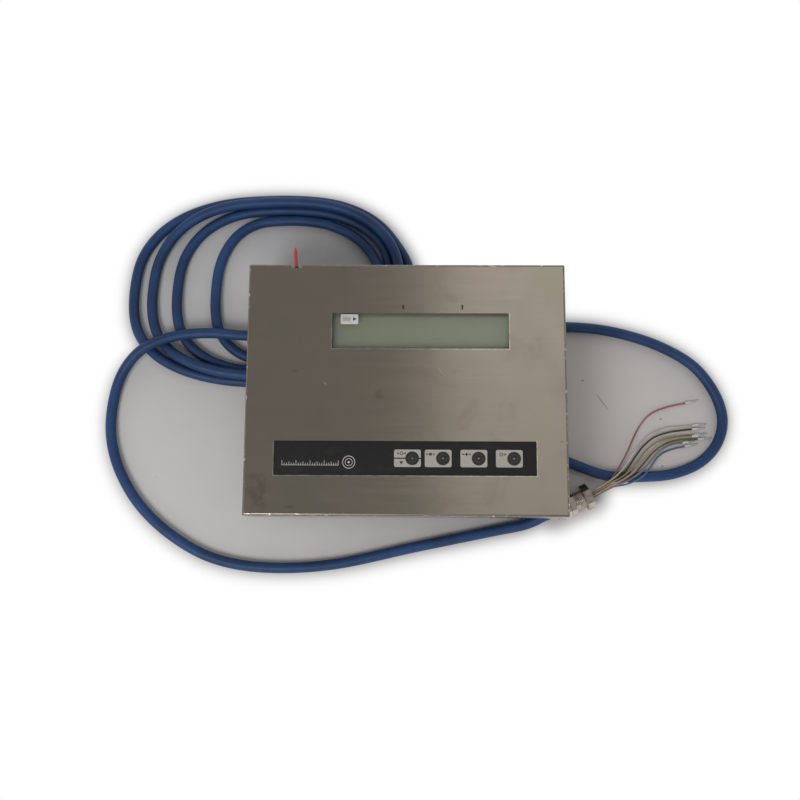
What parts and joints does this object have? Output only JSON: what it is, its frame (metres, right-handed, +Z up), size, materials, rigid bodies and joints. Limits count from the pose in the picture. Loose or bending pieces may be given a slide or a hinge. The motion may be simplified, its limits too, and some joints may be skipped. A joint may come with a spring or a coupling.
{
  "type": "weighing indicator",
  "caption": "Desk-top weighing indicator in a stainless housing on rubber feet, with a display window, a key strip and a long coiled signal cable that ends in a screwed gland and loose cores.",
  "frame": {"origin": "middle of the housing's footprint, on the plane that the feet stand on", "axes": "+X to the right as the face is read, +Y from the front edge to the rear edge, +Z up out of the face"},
  "size_m": [0.565, 0.3504, 0.0912],
  "materials": {
    "stainless": "satin, brushed from side to side, with stains and fine scratches",
    "seal_rubber": "matt",
    "fastener_steel": "satin",
    "foot_rubber": "matt",
    "window_plastic": "clear and glossy",
    "label_white": "matt",
    "black_print": "matt",
    "black_plastic": "matt",
    "lcd_grey": "satin, grey green",
    "backlight_white": "matt",
    "board_green": "solder mask, satin",
    "chip_black": "matt",
    "foil_black": "glossy",
    "field_grey": "satin print",
    "key_black": "satin",
    "spring_steel": "bright",
    "ribbon_grey": "matt",
    "nickel": "nickel plated, satin",
    "tin_plate": "satin",
    "capacitor_sleeve": "satin",
    "barrier_blue": "matt",
    "fuse_glass": "clear",
    "terminal_green": "matt",
    "stud_brass": "satin",
    "plate_aluminium": "satin, blank",
    "seal_red": "satin",
    "cable_blue": "satin sheath",
    "core_insulation": "satin, each core has a colour of its own",
    "ferrule_white": "satin"
  },
  "bodies": {
    "housing": {"front_cover": "stainless", "base_tray": "stainless", "housing_gasket": "seal_rubber", "window_gasket": "seal_rubber", "entry_gland_seal": "seal_rubber", "cover_screws": "fastener_steel", "foot_screws": "fastener_steel", "mounting_inserts": "fastener_steel", "display_nuts": "fastener_steel", "keypad_nuts": "fastener_steel", "board_screws": "fastener_steel", "rubber_feet": "foot_rubber", "window_pane": "window_plastic", "window_label": "label_white", "limit_marks": "black_print", "display_frame": "black_plastic", "keypad_carrier": "black_plastic", "lcd_glass": "lcd_grey", "lcd_backlight": "backlight_white", "lcd_board": "board_green", "keypad_board": "board_green", "main_board": "board_green", "lcd_driver_chips": "chip_black", "processor_chips": "chip_black", "keypad_foil": "foil_black", "key_fields": "field_grey", "key_dome_1": "spring_steel", "key_dome_2": "spring_steel", "key_dome_3": "spring_steel", "key_dome_4": "spring_steel", "display_ribbon": "ribbon_grey", "keypad_ribbon": "ribbon_grey", "board_standoffs": "nickel", "entry_gland_body": "nickel", "entry_gland_nut": "nickel", "entry_gland_locknut": "nickel", "blanking_plugs": "nickel", "far_gland_body": "nickel", "far_gland_nut": "nickel", "far_lock_nut": "nickel", "adc_shield": "tin_plate", "capacitors": "capacitor_sleeve", "barrier_module": "barrier_blue", "fuse": "fuse_glass", "terminal_block": "terminal_green", "earth_stud": "stud_brass", "nameplate": "plate_aluminium", "seal_cord": "seal_red", "inner_cable": "cable_blue", "cable_lead": "cable_blue", "cable_coil": "cable_blue", "cable_run": "cable_blue", "inner_cores": "core_insulation", "cable_cores": "core_insulation", "core_ferrules": "ferrule_white"},
    "key_1": {"key_1": "key_black"},
    "key_2": {"key_2": "key_black"},
    "key_3": {"key_3": "key_black"},
    "key_4": {"key_4": "key_black"}
  },
  "joints": [
    {"name": "key_1_press", "type": "slide", "parent": "housing", "child": "key_1", "axis": [0, 0, -1], "range_m": [0, 0.0006], "stiffness_N_per_m": 2000, "deforming": ["key_dome_1"]},
    {"name": "key_2_press", "type": "slide", "parent": "housing", "child": "key_2", "axis": [0, 0, -1], "range_m": [0, 0.0006], "stiffness_N_per_m": 2000, "deforming": ["key_dome_2"]},
    {"name": "key_3_press", "type": "slide", "parent": "housing", "child": "key_3", "axis": [0, 0, -1], "range_m": [0, 0.0006], "stiffness_N_per_m": 2000, "deforming": ["key_dome_3"]},
    {"name": "key_4_press", "type": "slide", "parent": "housing", "child": "key_4", "axis": [0, 0, -1], "range_m": [0, 0.0006], "stiffness_N_per_m": 2000, "deforming": ["key_dome_4"]}
  ]
}
